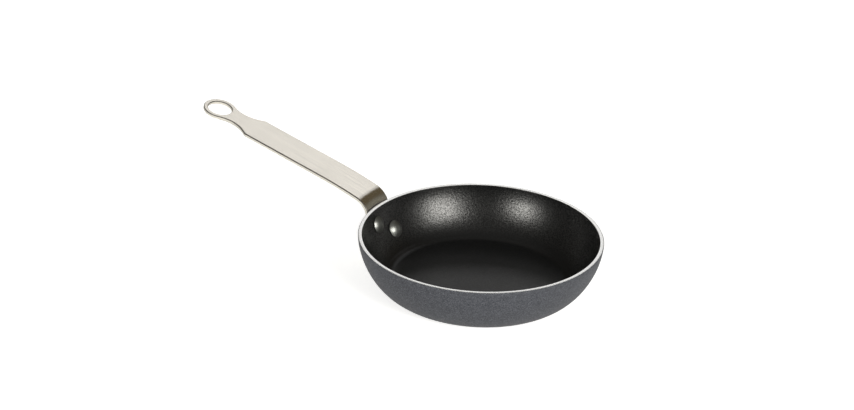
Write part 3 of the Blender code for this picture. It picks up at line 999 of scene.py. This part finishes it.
class BLINI_OT_add_handle(bpy.types.Operator):
    """Cuts the handle's blank, bends it over the rim and presses its foot to the bowl"""

    bl_idname = "blini.add_handle"
    bl_label = "Add Handle"

    def execute(self, context):
        settings = context.scene.blini_pan
        handle = settings.handle
        path = StripPath(Side(settings.bowl), handle)
        blank = Blank(path)
        piece = draw_blank("strip_handle", blank)
        modify(piece, "SOLIDIFY", thickness=handle.thickness, offset=-1.0)
        weigh_edges(piece, blank)
        softening = {"width": handle.edge_round, "segments": EDGE_SEGMENTS, "limit_method": "WEIGHT"}
        modify(piece, "BEVEL", use_clamp_overlap=False, **softening)
        mark_depth(piece, handle.thickness)
        for vertex in piece.data.vertices:
            vertex.co = path.form(vertex.co)
        drill(piece, settings)
        smooth(piece)
        modify(piece, "WEIGHTED_NORMAL", weight=100, keep_sharp=True)
        hand_over(piece, "handle", steel_finish(settings.colours))
        return {"FINISHED"}


class BLINI_OT_add_rivets(bpy.types.Operator):
    """Sets the two rivets through the foot and the bowl"""

    bl_idname = "blini.add_rivets"
    bl_label = "Add Rivets"

    def execute(self, context):
        settings = context.scene.blini_pan
        material = rivet_finish(settings.colours)
        for node, place in rivet_places(settings).items():
            piece = draw_line(node + "_steel", rivet_outline(place))
            spin(piece, settings.rivet.steps)
            piece.matrix_world = place.matrix
            pick(piece)
            bpy.ops.object.transform_apply(location=True, rotation=True, scale=True)
            smooth(piece)
            hand_over(piece, node, material)
        return {"FINISHED"}


FLOOR_SIZE = 16.0
FLOOR_DROP = 0.00002  # keeps the floor just clear of the base
FLOOR_COLOUR = (0.88, 0.88, 0.88)
FLOOR_GLOW = 0.6  # share of white that the floor gives to the camera at the pan
FLOOR_WHITENS = (0.5, 2.5)  # distances from the pan between which it turns plain white
FLOOR_MIRRORED = 0.5  # share of that which metal and gloss show
LAMP_DISTANCE = 2.2
LAMP_COLOUR = (1.0, 0.985, 0.93)
LAMPS = {
    # name: direction round the pan and height in degrees, width and height at 1 m, light
    "lamp_left": (162.5, 23.6, 0.51, 0.56, 3.95),
    "lamp_right": (78.7, 20.0, 0.33, 0.33, 2.0),
}
SURROUND_RADIUS = 4.0
SURROUND_STEP = 3  # degrees from face to face
OPENINGS = (
    # where the white backdrop shows: between two directions and between two heights, in degrees
    (-96, -90, 39, 45),
    (-90, -84, 39, 48),
    (-84, -78, 36, 48),
    (-78, -63, 33, 48),
    (-63, -60, 36, 48),
    (-66, -54, 21, 30),
)
ROOM_SHADE = (0.092, 0.087, 0.074)
ROOM_PARTS = (
    # direction and height in degrees, how far the part reaches round that, its core, and its shade
    ((-40, 90), 44, 28, (0.26, 0.25, 0.23)),  # overhead
    ((-107, 38), 28, 10, (0.088, 0.070, 0.042)),  # beside the backdrop
    ((-130, 6), 24, 8, (0.160, 0.153, 0.129)),  # low beside the backdrop
    # A black patch low in the room: painted shade, so that the strip mirrors black where the gap between
    # it and the rim lies in shade.
    ((-131, -2), 9, 6, (0.004, 0.004, 0.004)),  # at the floor below that
)


def towards(azimuth, elevation):
    """The unit vector to a compass direction, counted from +X towards +Y, and a height."""
    a, e = math.radians(azimuth), math.radians(elevation)
    return Vector((math.cos(a) * math.cos(e), math.sin(a) * math.cos(e), math.sin(e)))


def add_lamp(name, azimuth, elevation, width, height, light):
    """A rectangular lamp that faces the pan. Its light is its radiance times how large it looks."""
    place = towards(azimuth, elevation) * LAMP_DISTANCE
    facing = place.to_track_quat("Z", "Y").to_euler()
    deselect_all()
    bpy.ops.object.light_add(type="AREA", location=place, rotation=facing)
    lamp = new_object(name)
    lamp.data.shape = "RECTANGLE"
    lamp.data.size = width * LAMP_DISTANCE
    lamp.data.size_y = height * LAMP_DISTANCE
    lamp.data.energy = light * math.pi * LAMP_DISTANCE**2
    lamp.data.color = LAMP_COLOUR
    lamp.visible_camera = False


def add_floor():
    """A pale floor, which ends up white to the camera but keeps the pan's shadow."""
    deselect_all()
    bpy.ops.mesh.primitive_plane_add(size=FLOOR_SIZE, location=(0, 0, -FLOOR_DROP))
    floor = new_object("studio_floor")
    made = Surface("pale_floor", {"Roughness": 0.9, "Specular IOR Level": 0.1, "Emission Strength": 1.0})
    made.set("Base Color", FLOOR_COLOUR)
    x, y, z = made.axes()
    away = made.between((x * x + y * y) ** 0.5, *FLOOR_WHITENS)
    glow = made.seen(FLOOR_MIRRORED) * (FLOOR_GLOW + away * (1.0 - FLOOR_GLOW))
    made.set("Emission Color", made.blend(glow, BLACK, WHITE))
    floor.data.materials.append(made.material)


def is_open(centre):
    """Whether a face of the surround is left out: below the floor, or where the backdrop shows."""
    azimuth = math.degrees(math.atan2(centre.y, centre.x))
    height = math.degrees(math.asin(centre.z / centre.length))
    shows = (first < azimuth < last and low < height < top for first, last, low, top in OPENINGS)
    return height < 0 or any(shows)


def add_surround():
    """A dim room, seen only in metal and gloss, that leaves the white backdrop open on one side."""
    deselect_all()
    bpy.ops.mesh.primitive_uv_sphere_add(
        segments=360 // SURROUND_STEP, ring_count=180 // SURROUND_STEP, radius=SURROUND_RADIUS
    )
    surround = new_object("studio_surround")
    edit(surround)
    mesh = bmesh.from_edit_mesh(surround.data)
    for face in mesh.faces:
        face.select_set(is_open(face.calc_center_median()))
    bmesh.update_edit_mesh(surround.data)
    bpy.ops.mesh.delete(type="FACE")
    close_edit()
    made = Surface("dim_room", {"Specular IOR Level": 0.0, "Emission Strength": 1.0})
    made.set("Base Color", BLACK)
    x, y, z = made.axes()
    shade = ROOM_SHADE
    for place, reach, core, part in ROOM_PARTS:
        axis = towards(*place) / SURROUND_RADIUS
        edge, full = (math.cos(math.radians(angle)) for angle in (reach, core))
        share = made.between(x * axis.x + y * axis.y + z * axis.z, edge, full)
        shade = made.blend(share, shade, part)
    made.set("Emission Color", shade)
    made.material.cycles.emission_sampling = "NONE"
    surround.data.materials.append(made.material)
    surround.visible_camera = surround.visible_diffuse = surround.visible_shadow = False


def set_world(studio):
    """White to the camera, also in metal and through glass, and a plain fill for the rest."""
    world = bpy.data.worlds.new("studio")
    bpy.context.scene.world = world
    world.use_nodes = True
    made = Finish(world.node_tree)
    background = made.tree.nodes["Background"]
    made.plug(background.inputs["Color"], made.blend(made.seen(), (studio.fill,) * 3, WHITE))


def add_camera(studio):
    """The camera, at the photograph's angle."""
    azimuth, elevation, roll = studio.azimuth, studio.elevation, studio.roll
    flat = math.cos(elevation)
    back = Vector((math.sin(azimuth) * flat, -math.cos(azimuth) * flat, math.sin(elevation)))
    level = Vector((0, 0, 1)).cross(back).normalized()
    upright = back.cross(level)
    right = level * math.cos(roll) + upright * math.sin(roll)
    up = upright * math.cos(roll) - level * math.sin(roll)
    turned = Matrix((right, up, back)).transposed()
    place = back * studio.distance + right * studio.aim_right + up * studio.aim_up
    bpy.ops.object.camera_add(location=place, rotation=turned.to_euler())
    camera = new_object("camera")
    camera.data.lens = studio.lens
    camera.data.sensor_width = studio.sensor
    camera.data.sensor_fit = "HORIZONTAL"
    bpy.context.scene.camera = camera


class BLINI_OT_add_studio(bpy.types.Operator):
    """Adds the floor, the lamps, the world and the camera"""

    bl_idname = "blini.add_studio"
    bl_label = "Add Studio"

    def execute(self, context):
        studio = context.scene.blini_pan.studio
        add_floor()
        for name, values in LAMPS.items():
            add_lamp(name, *values)
        add_surround()
        set_world(studio)
        add_camera(studio)
        context.scene.view_settings.view_transform = "Standard"
        return {"FINISHED"}


STEPS = (
    BLINI_OT_add_studio,
    BLINI_OT_add_bowl,
    BLINI_OT_add_skins,
    BLINI_OT_add_handle,
    BLINI_OT_add_rivets,
)


class BLINI_PT_panel(bpy.types.Panel):
    """Lists the steps that build the pan"""

    bl_idname = "BLINI_PT_panel"
    bl_label = "Blini Pan"
    bl_space_type = "VIEW_3D"
    bl_region_type = "UI"
    bl_category = "Blini Pan"

    def draw(self, context):
        for step in STEPS:
            self.layout.operator(step.bl_idname)


CLASSES = (
    BowlSizes,
    HandleSizes,
    RivetSizes,
    Colours,
    StudioSettings,
    PanSettings,
    *STEPS,
    BLINI_PT_panel,
)


def register():
    for cls in CLASSES:
        bpy.utils.register_class(cls)
    bpy.types.Scene.blini_pan = PointerProperty(type=PanSettings)


def unregister():
    del bpy.types.Scene.blini_pan
    for cls in reversed(CLASSES):
        bpy.utils.unregister_class(cls)


def main():
    register()
    bpy.ops.blini.add_studio()
    bpy.ops.blini.add_bowl()
    bpy.ops.blini.add_skins()
    bpy.ops.blini.add_handle()
    bpy.ops.blini.add_rivets()


if __name__ == "__main__":
    main()
